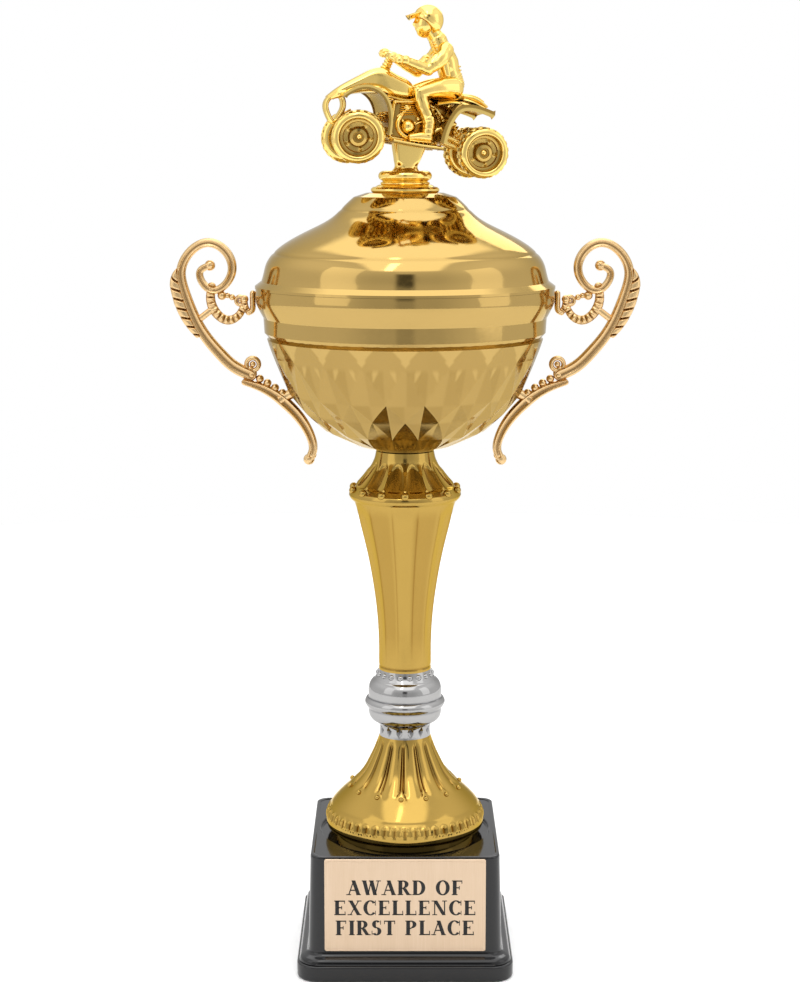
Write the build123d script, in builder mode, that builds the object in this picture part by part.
from build123d import *
from math import cos, radians, sin
import os

# A covered cup trophy, in millimetres: a weighted black base, a stem of moulded shells clamped
# on one threaded rod, a pressed metal cup with two scroll handles, and a lift-off lid that
# carries a quad bike and rider. Z = 0 is the underside of the base and -Y is the front.

os.makedirs("parts", exist_ok=True)

# ---------------------------------------------------------------- driving dimensions
# base
base_corner = 8.0
block_corner = 5.0
step_out = 4.15
block_lean = 1.3
tier_height = 5.8
step_height = 4.2
base_height = 44.9
base_wall = 2.2
dish_clearance = 1.9
dish_depth = 1.5
deck_margin = 3.5
deck_edge_radius = 1.0
felt_thickness = 1.0
weight_gap = 0.3

# name plate on the front of the base
plate_width = 57.15
plate_height = 33.9
plate_thickness = 0.6
plate_rise = 10.4
plate_corner = 0.6
tape_margin = 1.0
tape_thickness = 0.2

# clamping rod and its hardware
rod_radius = 3.0
rod_clearance = 0.25
thread_gap = 0.05
nut_across_flats = 10.0
nut_height = 4.8
washer_radius = 8.5
washer_thickness = 1.4
nut_pocket_radius = 12.0
nut_pocket_depth = 12.0
rod_end_reach = 2.0
rod_chamfer = 0.5

# stem, from the base upwards
stem_wall = 1.6
foot_radius = 29.1
foot_neck = 9.4
foot_height = 37.0
knop_radius = 14.7
knop_neck = 9.5
knop_height = 24.8
column_top_radius = 18.4
column_height = 62.6
collar_radius = 20.1
collar_neck = 10.4
collar_height = 17.6
spigot_radius = 6.6
spigot_height = 2.4
spigot_clearance = 0.1

# cup and lid
cup_wall = 0.8
cup_radius = 53.0
cup_height = 57.9
cup_seat_radius = 9.6
lid_height = 33.3
lid_gap = 0.1
skirt_wall = 0.8
skirt_depth = 12.0
skirt_clearance = 0.35
ledge_height = 3.0
ledge_thickness = 1.0
ledge_inset = 3.2

# handles and their screws
handle_depth = 4.4
tendril_depth = 3.2
lug_radius = 2.2
lug_reach = 5.0
lug_root = 1.0
bead_lug_length = 2.4
bead_lug_sink = 0.2
screw_radius = 1.2
screw_length = 3.2
screw_head_radius = 1.8
screw_head_height = 1.3
screw_clearance = 0.15
screw_hole_reach = 3.0
head_standoff = 0.7
upper_screw_drop = 3.9

# lid fittings
flange_radius = 12.0
flange_height = 2.8
mount_radius = 9.4
mount_height = 4.8
bolt_radius = 2.5
bolt_head_height = 3.5
bolt_across_flats = 8.0
bolt_end_gap = 0.4
lid_washer_radius = 8.0
lid_washer_thickness = 1.0
insert_radius = 3.8
insert_length = 4.0

# quad bike and rider
figure_yaw = 13.0
figure_pitch = 7.0
figure_shift = 3.4
axle_rise = 9.0
wheelbase = 44.4
track = 19.0
front_wheel_radius = 9.0
rear_wheel_radius = 8.8
wheel_width = 8.0
wheel_dish_depth = 3.2
rim_radius = 6.1
hub_radius = 3.0
tyre_shoulder = 1.0
axle_radius = 1.1
axle_clearance = 0.05
post_bottom_width = 8.0
post_top_width = 12.6
post_depth = 6.4
post_flare = 1.0
post_sink = 0.2
post_overlap = 2.0
post_offset = -1.7

# ---------------------------------------------------------------- what follows from them
dish_radius = foot_radius + dish_clearance
block_width = 2 * (dish_radius + deck_margin)
base_width = block_width + 2 * step_out

deck_floor = base_height - dish_depth
knop_base = deck_floor + foot_height
column_base = knop_base + knop_height
collar_base = column_base + column_height
cup_base = collar_base + collar_height
cup_rim = cup_base + cup_height
lid_base = cup_rim + lid_gap
lid_top = lid_base + lid_height
mount_base = lid_top + flange_height
post_base = mount_base + mount_height
axle_height = post_base + axle_rise
rod_hole = rod_radius + rod_clearance
bolt_hole = bolt_radius + rod_clearance
socket_radius = spigot_radius + spigot_clearance


# ---------------------------------------------------------------- shapes used more than once
def inset(points, wall):
    """The same path moved sideways by the wall, to the left of its direction of travel."""
    directions = []
    for start, end in zip(points, points[1:]):
        directions.append((Vector(*end) - Vector(*start)).normalized())
    moved = []
    for index, point in enumerate(points):
        before = directions[max(index - 1, 0)]
        after = directions[min(index, len(directions) - 1)]
        mitre = Vector(-before.Y - after.Y, before.X + after.X)
        reach = wall * 2 / mitre.length / mitre.length
        moved.append((point[0] + mitre.X * reach, point[1] + mitre.Y * reach))
    return moved


def raised(points, height):
    """Contour points (radius, height above the piece's foot) at the piece's real height."""
    return [(radius, rise + height) for radius, rise in points]


def draw_path(points, corners):
    """One line through the points: curves between the corners, straight where only two meet."""
    stops = [0] + corners + [len(points) - 1]
    for first, last in zip(stops, stops[1:]):
        stretch = points[first : last + 1]
        if len(stretch) == 2:
            Line(*stretch)
        else:
            Spline(*stretch)


def shell_of(points, corners, wall):
    """A turned shell with the given outer contour and an even wall inside it."""
    inner = inset(points, wall)
    with BuildPart() as shell:
        with BuildSketch(Plane.XZ):
            with BuildLine():
                draw_path(points, corners)
                draw_path(inner, corners)
                Line(points[0], inner[0])
                Line(points[-1], inner[-1])
            make_face()
        revolve(axis=Axis.Z)
    return shell.part


def solid_of(points, corners):
    """A turned solid with the given outer contour, closed along the axis."""
    with BuildPart() as body:
        with BuildSketch(Plane.XZ):
            with BuildLine():
                draw_path(points, corners)
                Line(points[-1], (0, points[-1][1]))
                Line((0, points[-1][1]), (0, points[0][1]))
                Line((0, points[0][1]), points[0])
            make_face()
        revolve(axis=Axis.Z)
    return body.part


def ring(outer, inner, height, plane):
    """A plain washer or tube standing on the plane."""
    with BuildPart() as piece:
        with BuildSketch(plane):
            Circle(outer)
            Circle(inner, mode=Mode.SUBTRACT)
        extrude(amount=height)
    return piece.part


def hex_nut(across_flats, bore, height, plane):
    """A hexagon nut standing on the plane."""
    with BuildPart() as piece:
        with BuildSketch(plane):
            RegularPolygon(across_flats / 2, 6, major_radius=False)
            Circle(bore, mode=Mode.SUBTRACT)
        extrude(amount=height)
    return piece.part


def save(piece, name):
    piece.label = name
    export_step(piece, f"parts/{name}.step")


def stem_piece(contour, corners, base, top):
    """A moulded stem shell standing at the base height, with a locating spigot above its top."""
    shell = shell_of(raised(contour, base), corners, stem_wall)
    spigot = ring(spigot_radius, spigot_radius - stem_wall, spigot_height, Plane.XY.offset(top))
    with BuildPart() as piece:
        add(shell)
        add(spigot)
    return piece.part


# ---------------------------------------------------------------- base
def rounded_block(width, corner, height, rise, lean):
    """A square block with rounded upright corners, leaning inwards as it rises."""
    with BuildPart() as block:
        with BuildSketch(Plane.XY.offset(rise)):
            RectangleRounded(width, width, corner)
        extrude(amount=height, taper=lean)
    return block.part


tier_inset = 1.0
tier_top_width = base_width - 2 * tier_inset
block_base = tier_height + step_height
block_height = base_height - block_base
hollow_width = block_width - 2 * base_wall
tier_hollow_width = base_width - 2 * base_wall
ceiling = deck_floor - base_wall
upper_block = rounded_block(block_width, block_corner, block_height, block_base, block_lean)
upper_hollow = rounded_block(hollow_width, block_corner - base_wall, ceiling, 0, block_lean)
with BuildPart() as base_shell:
    with BuildSketch(Plane.XY):
        RectangleRounded(base_width, base_width, base_corner)
    extrude(amount=tier_height)
    with BuildSketch(Plane.XY.offset(tier_height)):
        RectangleRounded(tier_top_width, tier_top_width, base_corner - tier_inset)
    with BuildSketch(Plane.XY.offset(block_base)):
        RectangleRounded(block_width, block_width, block_corner)
    loft()
    add(upper_block)
    fillet(base_shell.faces().sort_by(Axis.Z)[-1].edges(), deck_edge_radius)
    with BuildSketch(Plane.XY.offset(deck_floor)):
        Circle(dish_radius)
    extrude(amount=dish_depth, mode=Mode.SUBTRACT)
    with BuildSketch(Plane.XY):
        RectangleRounded(tier_hollow_width, tier_hollow_width, base_corner - base_wall)
    extrude(amount=tier_height - base_wall / 2, mode=Mode.SUBTRACT)
    add(upper_hollow, mode=Mode.SUBTRACT)
    with BuildSketch(Plane.XY):
        Circle(rod_hole)
    extrude(amount=base_height, mode=Mode.SUBTRACT)
save(base_shell.part, "base_shell")

weight_width = hollow_width - 2 * weight_gap
weight_height = ceiling - felt_thickness
hollow_corner = block_corner - base_wall
casting_block = rounded_block(weight_width, hollow_corner, weight_height, felt_thickness, block_lean)
with BuildPart() as base_weight:
    add(casting_block)
    with BuildSketch(Plane.XY.offset(felt_thickness)):
        Circle(nut_pocket_radius)
    extrude(amount=nut_pocket_depth, mode=Mode.SUBTRACT)
    with BuildSketch(Plane.XY):
        Circle(rod_hole)
    extrude(amount=base_height, mode=Mode.SUBTRACT)
save(base_weight.part, "base_weight")

felt_width = tier_hollow_width - 2 * weight_gap
with BuildPart() as base_felt:
    with BuildSketch(Plane.XY):
        RectangleRounded(felt_width, felt_width, base_corner - base_wall)
    extrude(amount=felt_thickness)
save(base_felt.part, "base_felt")

front_face = Plane(
    origin=(0, -block_width / 2, block_base),
    x_dir=(1, 0, 0),
    z_dir=(0, -cos(radians(block_lean)), sin(radians(block_lean))),
)
plate_middle = plate_rise - block_base + plate_height / 2
with BuildPart() as plate_tape:
    with BuildSketch(front_face):
        with Locations((0, plate_middle)):
            RectangleRounded(plate_width - 2 * tape_margin, plate_height - 2 * tape_margin, plate_corner)
    extrude(amount=tape_thickness)
save(plate_tape.part, "plate_tape")

with BuildPart() as name_plate:
    with BuildSketch(front_face.offset(tape_thickness)):
        with Locations((0, plate_middle)):
            RectangleRounded(plate_width, plate_height, plate_corner)
    extrude(amount=plate_thickness)
save(name_plate.part, "name_plate")

# ---------------------------------------------------------------- stem shells
foot_spread = foot_radius - foot_neck
foot_contour = [
    (foot_radius - 4.0, 0),
    (foot_radius - 3.6, 2.6),
    (foot_radius - 0.6, 3.0),
    (foot_radius, 5.5),
    (foot_radius - 0.9, 9.3),
    (foot_neck + foot_spread * 0.797, 13.6),
    (foot_neck + foot_spread * 0.543, 18.3),
    (foot_neck + foot_spread * 0.457, 20.0),
    (foot_neck + foot_spread * 0.294, 23.7),
    (foot_neck + foot_spread * 0.168, 28.3),
    (foot_neck + foot_spread * 0.066, foot_height - 4.2),
    (foot_neck, foot_height),
    (rod_hole, foot_height),
]
foot_corners = [1, 2, 6, 11]
save(stem_piece(foot_contour, foot_corners, deck_floor, knop_base), "foot")

knop_contour = [
    (socket_radius, 0),
    (foot_neck, 0),
    (foot_neck + 0.1, 2.7),
    (knop_radius - 3.9, 5.4),
    (knop_radius - 1.5, 10.0),
    (knop_radius - 0.9, 10.6),
    (knop_radius, 12.4),
    (knop_radius - 0.9, 14.2),
    (knop_radius - 1.4, 14.8),
    (knop_radius - 1.9, 18.4),
    (knop_neck + 1.0, 22.0),
    (knop_neck, knop_height),
    (rod_hole, knop_height),
]
knop_corners = [1, 4, 8, 11]
save(stem_piece(knop_contour, knop_corners, knop_base, column_base), "knop")

column_contour = [
    (socket_radius, 0),
    (knop_neck, 0),
    (knop_neck + 0.2, column_height * 0.12),
    (knop_neck + 0.7, column_height * 0.30),
    (knop_neck + 2.3, column_height * 0.51),
    (column_top_radius - 4.1, column_height * 0.72),
    (column_top_radius - 1.8, column_height * 0.87),
    (column_top_radius, column_height),
    (rod_hole, column_height),
]
save(stem_piece(column_contour, [1, 7], column_base, collar_base), "column")

collar_contour = [
    (socket_radius, 0),
    (collar_radius - 1.0, 0),
    (collar_radius, 1.5),
    (collar_radius - 0.3, 3.0),
    (collar_radius - 3.9, 6.7),
    (collar_neck + 2.5, 11.1),
    (collar_neck + 0.4, collar_height - 2.2),
    (collar_neck, collar_height),
    (rod_hole, collar_height),
]
save(shell_of(raised(collar_contour, collar_base), [1, 3, 7], stem_wall), "collar")

# ---------------------------------------------------------------- cup
band_height = cup_height - 17.3
cup_contour = [
    (rod_hole, 0),
    (cup_seat_radius, 0),
    (cup_radius * 0.43, cup_height * 0.076),
    (cup_radius * 0.62, cup_height * 0.188),
    (cup_radius * 0.76, cup_height * 0.337),
    (cup_radius * 0.85, cup_height * 0.485),
    (cup_radius * 0.893, cup_height * 0.62),
    (cup_radius - 5.0, band_height),
    (cup_radius - 3.2, band_height + 2.0),
    (cup_radius - 2.9, band_height + 7.2),
    (cup_radius - 0.9, band_height + 11.0),
    (cup_radius, band_height + 14.4),
    (cup_radius - 0.3, cup_height),
]
cup_corners = [1, 7, 8, 9]
cup_outline = raised(cup_contour, cup_base)
cup_inner = inset(cup_outline, cup_wall)
cup_solid = solid_of(cup_outline, cup_corners)

# where the handles meet the cup: on the bead, and on the side wall below
bead_anchor = Vector(cup_radius, 0, cup_rim - upper_screw_drop)
wall_below = Vector(cup_outline[4][0], 0, cup_outline[4][1])
wall_above = Vector(cup_outline[5][0], 0, cup_outline[5][1])
wall_anchor = wall_below * 0.9 + wall_above * 0.1
wall_slope = (wall_above - wall_below).normalized()
bead_normal = Vector(1, 0, 0)
wall_normal = Vector(wall_slope.Z, 0, -wall_slope.X)
anchors = [(bead_anchor, bead_normal), (wall_anchor, wall_normal)]


def flipped(vector, side):
    return Vector(vector.X * side, vector.Y, vector.Z)


def pin_along(anchor, normal, radius, inward, outward):
    """A round bar on a screw's line, reaching inwards and outwards from the cup's wall."""
    with BuildPart() as pin:
        with BuildSketch(Plane(origin=anchor - normal * inward, z_dir=normal)):
            Circle(radius)
        extrude(amount=inward + outward)
    return pin.part


screw_lines = []
for side in (1, -1):
    for anchor, normal in anchors:
        screw_lines.append((flipped(anchor, side), flipped(normal, side)))
screw_hole_radius = screw_radius + screw_clearance
cup_shell = shell_of(cup_outline, cup_corners, cup_wall)
cup_holes = []
for anchor, normal in screw_lines:
    cup_holes.append(pin_along(anchor, normal, screw_hole_radius, screw_hole_reach, screw_hole_reach))
with BuildPart() as cup:
    add(cup_shell)
    add(cup_holes, mode=Mode.SUBTRACT)
save(cup.part, "cup")

# rod, nuts and washers
lower_washer_top = felt_thickness + nut_pocket_depth
lower_nut_top = lower_washer_top - washer_thickness
cup_floor = cup_base + cup_wall
upper_nut_base = cup_floor + washer_thickness
rod_foot = lower_nut_top - nut_height - rod_end_reach
rod_top = upper_nut_base + nut_height + rod_end_reach
with BuildPart() as tie_rod:
    with BuildSketch(Plane.XY.offset(rod_foot)):
        Circle(rod_radius)
    extrude(amount=rod_top - rod_foot)
    chamfer(tie_rod.edges().filter_by(GeomType.CIRCLE), rod_chamfer)
save(tie_rod.part, "tie_rod")

nut_bore = rod_radius + thread_gap
save(ring(washer_radius, rod_hole, washer_thickness, Plane.XY.offset(lower_nut_top)), "base_washer")
lower_nut_plane = Plane.XY.offset(lower_nut_top - nut_height)
save(hex_nut(nut_across_flats, nut_bore, nut_height, lower_nut_plane), "base_nut")
save(ring(washer_radius, rod_hole, washer_thickness, Plane.XY.offset(cup_floor)), "cup_washer")
save(hex_nut(nut_across_flats, nut_bore, nut_height, Plane.XY.offset(upper_nut_base)), "cup_nut")


# ---------------------------------------------------------------- handles
def band(points, widths):
    """A flat ribbon on the XZ plane whose width changes along a curve through the points."""
    middle = Spline(*points, mode=Mode.PRIVATE)
    count = 2 * len(points) - 1
    left = []
    right = []
    for step in range(count):
        place = step / (count - 1)
        share = place * (len(widths) - 1)
        index = min(int(share), len(widths) - 2)
        width = widths[index] + (widths[index + 1] - widths[index]) * (share - index)
        centre = middle.position_at(place)
        along = middle.tangent_at(place)
        across = Vector(-along.Y, along.X) * (width / 2)
        left.append(centre + across)
        right.append(centre - across)
    with BuildSketch() as ribbon:
        with BuildLine():
            Spline(*left)
            Spline(*right)
            Line(left[0], right[0])
            Line(left[-1], right[-1])
        make_face()
        for centre, width in ((points[0], widths[0]), (points[-1], widths[-1])):
            with Locations(centre):
                Circle(width / 2)
    return ribbon.sketch


def spiral(centre, radii, start_angle):
    """Points on a scroll, one every quarter turn anticlockwise, at the given radii."""
    points = []
    for quarter, radius in enumerate(radii):
        angle = radians(start_angle + 90 * quarter)
        points.append((centre[0] + radius * cos(angle), centre[1] + radius * sin(angle)))
    return points


# All handle points are (outwards from the cup's bead, upwards from the cup's rim).
scroll_centre = (15.9, 6.1)
scroll_radii = [10.2, 9.9, 7.8, 6.6, 3.4, 1.9]
arm = [(2.5, -30.5), (7.8, -27.8), (12.9, -23.0), (17.9, -16.9), (21.5, -10.5), (24.3, -3.2), (26.0, 2.0)]
scroll = spiral(scroll_centre, scroll_radii, 0)
tail = [(4.2, -33.4), (-2.0, -35.4), (-7.2, -38.3), (-11.5, -41.9), (-16.0, -47.0)]
tail += [(-19.2, -52.8), (-20.0, -58.0), (-18.6, -61.2)]
tendril = [(15.4, 0.6), (15.8, -4.0), (14.0, -8.6), (9.6, -11.3), (5.8, -9.4), (4.3, -6.6)]
hook = [(3.9, -3.8), (3.5, -6.6), (2.4, -8.6)]
pad = [(2.4, -8.6), (1.3, -8.0), (0.9, -6.0), (0.9, -1.8)]
leaf = [(20.6, -16.4), (23.6, -12.2), (26.2, -6.4), (28.0, 0.2), (28.2, 4.2), (26.6, 7.3)]
bridge = [(16.0, -8.0), (19.4, -10.6)]
bud = (11.8, -2.6)
bud_radius = 1.6
curl = (5.4, -4.4)
curl_radius = 2.2
lower_scroll = (1.2, -27.0)
lower_scroll_neck = (2.4, -30.4)
lower_scroll_radius = 3.1
tail_bead_radius = 1.5
tail_ball_radius = 2.0
tail_beads = [(1.6, -30.8), (-1.3, -32.2), (-4.0, -33.7), (-6.7, -35.4), (-9.3, -37.3)]


main_bands = [
    band(arm + scroll, [4.4, 4.2, 3.8, 3.4, 3.2, 3.2, 2.8, 2.4]),
    band(leaf, [2.6, 3.0, 3.4, 3.6, 2.0]),
    band(tail, [2.2, 3.4, 4.2, 3.8, 3.2, 3.0]),
]
light_bands = [
    band(tendril, [3.0, 3.4, 3.2, 2.4]),
    band(hook, [2.4, 2.0]),
    band(pad, [2.0, 2.0]),
    band(bridge, [2.4, 2.4]),
]
wall_lug = pin_along(wall_anchor, wall_normal, lug_radius, lug_root, lug_reach)
tapped_holes = []
for anchor, normal in anchors:
    tapped_holes.append(pin_along(anchor, normal, screw_radius, lug_root, screw_length))
handle_plane = Plane(origin=(cup_radius, 0, cup_rim), x_dir=(1, 0, 0), z_dir=(0, -1, 0))
with BuildPart() as right_handle:
    with BuildSketch(handle_plane):
        add(main_bands)
        with Locations(lower_scroll, lower_scroll_neck):
            Circle(lower_scroll_radius)
        with Locations(*tail_beads):
            Circle(tail_bead_radius)
        with Locations(tail[-1]):
            Circle(tail_ball_radius)
    extrude(amount=handle_depth / 2, both=True)
    with BuildSketch(handle_plane):
        add(light_bands)
        with Locations(bud):
            Circle(bud_radius)
        with Locations(curl):
            Circle(curl_radius)
    extrude(amount=tendril_depth / 2, both=True)
    with BuildSketch(handle_plane):
        with Locations((bead_lug_length / 2 - bead_lug_sink, -upper_screw_drop)):
            Rectangle(bead_lug_length, 2 * lug_radius)
    extrude(amount=lug_radius, both=True)
    add(wall_lug)
    add(cup_solid, mode=Mode.SUBTRACT)
    add(tapped_holes, mode=Mode.SUBTRACT)
save(right_handle.part, "right_handle")

with BuildPart() as left_handle:
    mirror(right_handle.part, about=Plane.YZ)
save(left_handle.part, "left_handle")

head_face = cup_wall + head_standoff
shank_radius = screw_radius - thread_gap
shank_reach = screw_length - 2 * head_standoff
screw_pieces = []
for anchor, normal in screw_lines:
    screw_pieces.append(pin_along(anchor, normal, shank_radius, head_face, shank_reach))
    head_seat = anchor - normal * head_face
    screw_pieces.append(pin_along(head_seat, normal, screw_head_radius, screw_head_height, 0))
with BuildPart() as handle_screws:
    add(screw_pieces)
save(handle_screws.part, "handle_screws")

# ---------------------------------------------------------------- lid
lid_contour = [
    (cup_radius, 0),
    (cup_radius, 0.9),
    (cup_radius - 2.3, 2.6),
    (cup_radius - 2.9, 4.6),
    (cup_radius - 4.0, 8.6),
    (cup_radius - 7.0, 12.8),
    (cup_radius - 12.8, lid_height - 16.3),
    (cup_radius - 20.8, lid_height - 12.2),
    (flange_radius + 13.0, lid_height - 8.0),
    (flange_radius + 8.8, lid_height - 3.9),
    (flange_radius + 6.0, lid_height - 1.4),
    (flange_radius + 1.6, lid_height),
    (bolt_hole, lid_height),
]
lid = shell_of(raised(lid_contour, lid_base), [1, 2, 10, 11], cup_wall)
save(lid, "lid")

skirt_radius = cup_inner[8][0] - skirt_clearance
ledge_base = lid_base + ledge_height
with BuildPart() as lid_skirt:
    with BuildSketch(Plane.XY.offset(lid_base - skirt_depth)):
        Circle(skirt_radius)
        Circle(skirt_radius - skirt_wall, mode=Mode.SUBTRACT)
    extrude(amount=skirt_depth + ledge_height)
    with BuildSketch(Plane.XY.offset(ledge_base)):
        Circle(cup_radius - ledge_inset)
        Circle(skirt_radius - skirt_wall, mode=Mode.SUBTRACT)
    extrude(amount=ledge_thickness)
    add(lid, mode=Mode.SUBTRACT)
save(lid_skirt.part, "lid_skirt")

flange_contour = [
    (bolt_hole, 0),
    (flange_radius - 0.6, 0),
    (flange_radius, flange_height * 0.35),
    (flange_radius - 0.6, flange_height * 0.75),
    (flange_radius - 2.2, flange_height),
    (bolt_hole, flange_height),
]
flange_blank = solid_of(raised(flange_contour, lid_top), [1, 4])
with BuildPart() as lid_flange:
    add(flange_blank)
    with BuildSketch(Plane.XY.offset(lid_top)):
        Circle(bolt_hole)
    extrude(amount=flange_height, mode=Mode.SUBTRACT)
save(lid_flange.part, "lid_flange")

lid_ceiling = lid_top - cup_wall
bolt_head_top = lid_ceiling - lid_washer_thickness
bolt_reach = mount_base + insert_length - bolt_head_top
save(ring(lid_washer_radius, bolt_hole, lid_washer_thickness, Plane.XY.offset(bolt_head_top)), "lid_washer")
with BuildPart() as lid_bolt:
    with BuildSketch(Plane.XY.offset(bolt_head_top)):
        RegularPolygon(bolt_across_flats / 2, 6, major_radius=False)
    extrude(amount=-bolt_head_height)
    with BuildSketch(Plane.XY.offset(bolt_head_top)):
        Circle(bolt_radius)
    extrude(amount=bolt_reach - bolt_end_gap)
save(lid_bolt.part, "lid_bolt")
insert_bore = bolt_radius + thread_gap
save(ring(insert_radius, insert_bore, insert_length, Plane.XY.offset(mount_base)), "figure_insert")

# ---------------------------------------------------------------- quad bike
yaw = radians(figure_yaw)
pitch = radians(figure_pitch)
rearward = Vector(cos(yaw) * cos(pitch), sin(yaw) * cos(pitch), -sin(pitch))
nearside = Vector(sin(yaw), -cos(yaw), 0)
middle_plane = Plane(
    origin=(figure_shift * cos(yaw), figure_shift * sin(yaw), axle_height),
    x_dir=rearward,
    z_dir=nearside,
)
front_axle_at = (-wheelbase / 2, 0)
rear_axle_at = (wheelbase / 2, 0)


def slab(points, first, last):
    """A flat-sided block: an outline in the bike's middle plane, between two offsets from it."""
    with BuildPart() as block:
        with BuildSketch(middle_plane.offset(first)):
            with BuildLine():
                Polyline(*points, close=True)
            make_face()
        extrude(amount=last - first)
    return block.part


def arch(points, width, first, last):
    """A curved sheet, such as a mudguard, between two offsets from the bike's middle plane."""
    section = band(points, [width, width])
    with BuildPart() as sheet:
        with BuildSketch(middle_plane.offset(first)):
            add(section)
        extrude(amount=last - first)
    return sheet.part


def cross_bar(centre, radius, first, last):
    """A round bar across the bike."""
    with BuildPart() as bar:
        with BuildSketch(middle_plane.offset(first)):
            with Locations(centre):
                Circle(radius)
        extrude(amount=last - first)
    return bar.part


chassis_outline = [(-10.6, 0.4), (8.0, 0.0), (12.0, 4.0), (13.0, 12.0), (8.0, 15.3), (-11.2, 14.4)]
board_outline = [(-10.4, -0.8), (7.6, -1.0), (7.8, 0.4), (-10.4, 0.6)]
chassis_half = 5.0
board_edge = 12.0
engine_case = (-4.0, 6.5)
engine_case_radius = 3.2
engine_half = 6.6
gear_case = (4.0, 5.6)
gear_case_radius = 2.6
gear_half = 6.2
chassis_pieces = [
    slab(chassis_outline, -chassis_half, chassis_half),
    slab(board_outline, -board_edge, board_edge),
    cross_bar(engine_case, engine_case_radius, -engine_half, engine_half),
    cross_bar(gear_case, gear_case_radius, -gear_half, gear_half),
]
with BuildPart() as chassis:
    add(chassis_pieces)
save(chassis.part, "quad_chassis")

hood_outline = [
    (-32.6, 12.1),
    (-29.9, 15.9),
    (-23.0, 20.4),
    (-15.5, 24.6),
    (-12.2, 23.7),
    (-4.4, 21.6),
    (-2.6, 18.4),
    (-3.6, 15.0),
    (-11.2, 14.0),
    (-15.0, 13.6),
    (-27.0, 12.0),
]
guard_front = [(-29.4, 13.4), (-25.3, 16.4), (-20.7, 17.6), (-14.6, 14.8), (-11.9, 9.6), (-11.6, 1.4)]
guard_rear = [(3.0, 15.0), (9.0, 16.4), (16.0, 15.6), (24.4, 14.2)]
guard_thickness = 1.2
hood_half = 4.4
guard_edge = 12.6
bodywork_pieces = [
    slab(hood_outline, -hood_half, hood_half),
    arch(guard_front, guard_thickness, -guard_edge, guard_edge),
]
with BuildPart() as bodywork:
    add(bodywork_pieces)
    add(chassis.part, mode=Mode.SUBTRACT)
save(bodywork.part, "quad_bodywork")

seat_outline = [(-3.0, 15.0), (-2.6, 17.2), (4.3, 17.2), (14.2, 19.1)]
seat_outline += [(20.1, 18.8), (21.4, 16.6), (13.0, 14.6)]
guard_drop = [(11.8, 16.0), (8.8, 10.4), (7.0, 5.4), (6.4, 0.8)]
tail_pieces = [
    slab(seat_outline, -hood_half, hood_half),
    arch(guard_rear, guard_thickness, -guard_edge, guard_edge),
    arch(guard_drop, guard_thickness, chassis_half, guard_edge),
    arch(guard_drop, guard_thickness, -guard_edge, -chassis_half),
]
with BuildPart() as tail_unit:
    add(tail_pieces)
    add(chassis.part, mode=Mode.SUBTRACT)
    add(bodywork.part, mode=Mode.SUBTRACT)
save(tail_unit.part, "quad_tail")

bumper_outline = [(-32.6, 12.6), (-34.0, 10.0), (-32.6, 6.0), (-30.6, 3.6), (-27.4, 6.6), (-26.0, 12.6)]
bumper_window = [(-32.0, 11.0), (-32.4, 9.6), (-30.6, 6.4), (-28.6, 8.2), (-28.2, 11.2)]
bumper_half = 3.0
bumper_block = slab(bumper_outline, -bumper_half, bumper_half)
window_block = slab(bumper_window, -bumper_half, bumper_half)
with BuildPart() as bumper:
    add(bumper_block)
    add(window_block, mode=Mode.SUBTRACT)
    add(bodywork.part, mode=Mode.SUBTRACT)
save(bumper.part, "quad_bumper")


def place(across, up, out):
    """A point given as distances rearwards, upwards and to the near side of the bike."""
    return middle_plane.from_local_coords(Vector(across, up, out))


def limb(start, end, start_radius, end_radius):
    """A tapering round limb with round ends."""
    reach = end - start
    with BuildPart() as piece:
        with BuildSketch(Plane(origin=start, z_dir=reach)):
            Circle(start_radius)
        with BuildSketch(Plane(origin=end, z_dir=reach)):
            Circle(end_radius)
        loft()
        with Locations(start):
            Sphere(start_radius)
        with Locations(end):
            Sphere(end_radius)
    return piece.part


bar_near = place(-11.4, 27.2, 11.0)
bar_far = place(-12.6, 30.4, -11.0)
bar_middle = (bar_near + bar_far) * 0.5
bar_radius = 1.0
steering_foot = place(-14.6, 22.6, 0)
steering_foot_radius = 1.6
steering_head_radius = 1.3
handlebar_pieces = [
    limb(bar_near, bar_far, bar_radius, bar_radius),
    limb(steering_foot, bar_middle, steering_foot_radius, steering_head_radius),
]
with BuildPart() as handlebar:
    add(handlebar_pieces)
    add(bodywork.part, mode=Mode.SUBTRACT)
save(handlebar.part, "quad_handlebar")


arm_half = 2.6


def axle(centre, arm_outline, name):
    """An axle across the bike, held by one arm from the chassis."""
    shaft_reach = track / 2 + wheel_width / 4
    pieces = [
        cross_bar(centre, axle_radius, -shaft_reach, shaft_reach),
        slab(arm_outline, -arm_half, arm_half),
    ]
    with BuildPart() as shaft:
        add(pieces)
        for neighbour in (chassis.part, bodywork.part, tail_unit.part):
            add(neighbour, mode=Mode.SUBTRACT)
    save(shaft.part, name)


arm_end = 1.6
front_arm_tip = front_axle_at[0] - arm_end
rear_arm_tip = rear_axle_at[0] + arm_end
front_arm = [(front_arm_tip, -1.4), (-9.0, 1.0), (-9.0, 5.0), (front_arm_tip, arm_end)]
rear_arm = [(rear_arm_tip, -1.4), (7.0, 1.6), (7.0, 5.0), (rear_arm_tip, arm_end)]
axle(front_axle_at, front_arm, "front_axle")
axle(rear_axle_at, rear_arm, "rear_axle")


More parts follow.
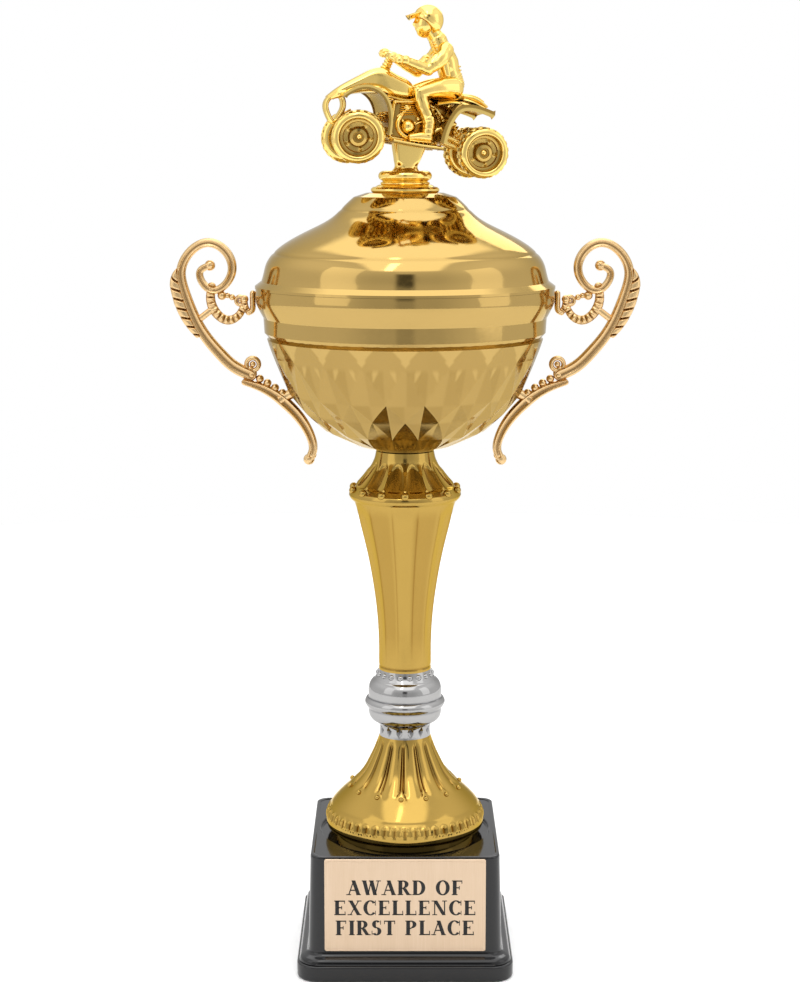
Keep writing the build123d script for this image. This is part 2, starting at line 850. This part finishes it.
def wheel(centre, radius, side):
    """A moulded wheel and tyre, dished on its outer face, blind on the inner face."""
    inner_face = track / 2 - wheel_width / 2
    outer_face = track / 2 + wheel_width / 2
    first = inner_face if side > 0 else -outer_face
    dish_start = outer_face - wheel_dish_depth if side > 0 else -outer_face
    bore_end = track / 2 + wheel_width / 4
    blank = cross_bar(centre, radius, first, first + wheel_width)
    dish = cross_bar(centre, rim_radius, dish_start, dish_start + wheel_dish_depth)
    hub = cross_bar(centre, hub_radius, dish_start, dish_start + wheel_dish_depth)
    bore = cross_bar(centre, axle_radius + axle_clearance, -bore_end, bore_end)
    with BuildPart() as tyre:
        add(blank)
        chamfer(tyre.edges().filter_by(GeomType.CIRCLE), tyre_shoulder)
        add(dish, mode=Mode.SUBTRACT)
        add(hub)
        add(bore, mode=Mode.SUBTRACT)
    return tyre.part


for end_name, centre, radius in (
    ("front", front_axle_at, front_wheel_radius),
    ("rear", rear_axle_at, rear_wheel_radius),
):
    for side_name, side in (("left", 1), ("right", -1)):
        save(wheel(centre, radius, side), f"{end_name}_{side_name}_wheel")

# the post under the bike, moulded with the ring that stands on the lid's flange
mount_contour = [
    (bolt_hole, 0),
    (mount_radius - 0.8, 0),
    (mount_radius - 0.2, 1.6),
    (mount_radius, mount_height - 2.0),
    (mount_radius - 0.2, mount_height - 0.7),
    (mount_radius - 1.2, mount_height),
    (bolt_hole, mount_height),
]
post_centre = place(post_offset, 0, 0)
post_top = axle_height + post_overlap
level_rearward = Vector(cos(yaw), sin(yaw), 0)
post_foot_plane = Plane(origin=(0, 0, post_base - post_sink), x_dir=level_rearward, z_dir=(0, 0, 1))
post_top_centre = (post_centre.X, post_centre.Y, post_top)
post_top_plane = Plane(origin=post_top_centre, x_dir=level_rearward, z_dir=(0, 0, 1))
mount_ring = solid_of(raised(mount_contour, mount_base), [1, 5])
with BuildPart() as figure_mount:
    with BuildSketch(post_foot_plane):
        Rectangle(post_bottom_width, post_depth)
    with BuildSketch(post_top_plane):
        Rectangle(post_top_width, post_depth + post_flare)
    loft()
    add(mount_ring)
    with BuildSketch(Plane.XY.offset(mount_base)):
        Circle(insert_radius)
    extrude(amount=insert_length, mode=Mode.SUBTRACT)
    add(chassis.part, mode=Mode.SUBTRACT)
save(figure_mount.part, "figure_mount")

# ---------------------------------------------------------------- rider
torso_sections = [
    (11.0, 19.0, 4.3, 4.6),
    (10.4, 24.0, 4.0, 4.2),
    (8.0, 29.0, 4.3, 4.8),
    (5.4, 33.4, 3.4, 5.0),
    (3.4, 36.4, 2.0, 2.2),
]
torso_lean = place(-0.42, 1, 0) - place(0, 0, 0)
with BuildPart() as torso:
    for across, up, depth, half in torso_sections:
        with BuildSketch(Plane(origin=place(across, up, 0), x_dir=rearward, z_dir=torso_lean)):
            Ellipse(depth, half)
    loft()

rider_limbs = [limb(place(4.6, 33.6, 0), place(0.6, 40.4, 0), 2.6, 2.4)]
for side, bar_end in ((1, bar_near), (-1, bar_far)):
    shoulder = place(4.9, 33.0, 5.4 * side)
    elbow = place(-0.4, 25.8, 8.2 * side)
    hand = bar_end * 0.78 + bar_middle * 0.22
    hip = place(9.6, 20.6, 3.4 * side)
    knee = place(-1.8, 17.4, 7.2 * side)
    ankle = place(2.2, 6.4, 8.6 * side)
    heel = place(2.4, 2.8, 8.6 * side)
    toe = place(-4.0, 2.2, 8.8 * side)
    rider_limbs.append(limb(shoulder, elbow, 2.7, 2.0))
    rider_limbs.append(limb(elbow, hand, 2.0, 1.8))
    rider_limbs.append(limb(hip, knee, 4.0, 2.8))
    rider_limbs.append(limb(knee, ankle, 2.6, 2.0))
    rider_limbs.append(limb(ankle, heel, 2.0, 1.9))
    rider_limbs.append(limb(heel, toe, 1.9, 1.5))

helmet_radius = 5.4
peak_outline = [(-7.2, 42.4), (-2.0, 43.8), (-2.0, 45.2), (-6.6, 43.2)]
helmet_peak = slab(peak_outline, -3.4, 3.4)
with BuildPart() as rider:
    add(torso.part)
    add(rider_limbs)
    with Locations(place(-0.4, 42.9, 0)):
        Sphere(helmet_radius)
    with Locations(place(-1.4, 39.4, 0)):
        Sphere(helmet_radius * 0.7)
    add(helmet_peak)
    for obstacle in (chassis.part, bodywork.part, tail_unit.part, handlebar.part):
        add(obstacle, mode=Mode.SUBTRACT)
save(rider.part, "rider")
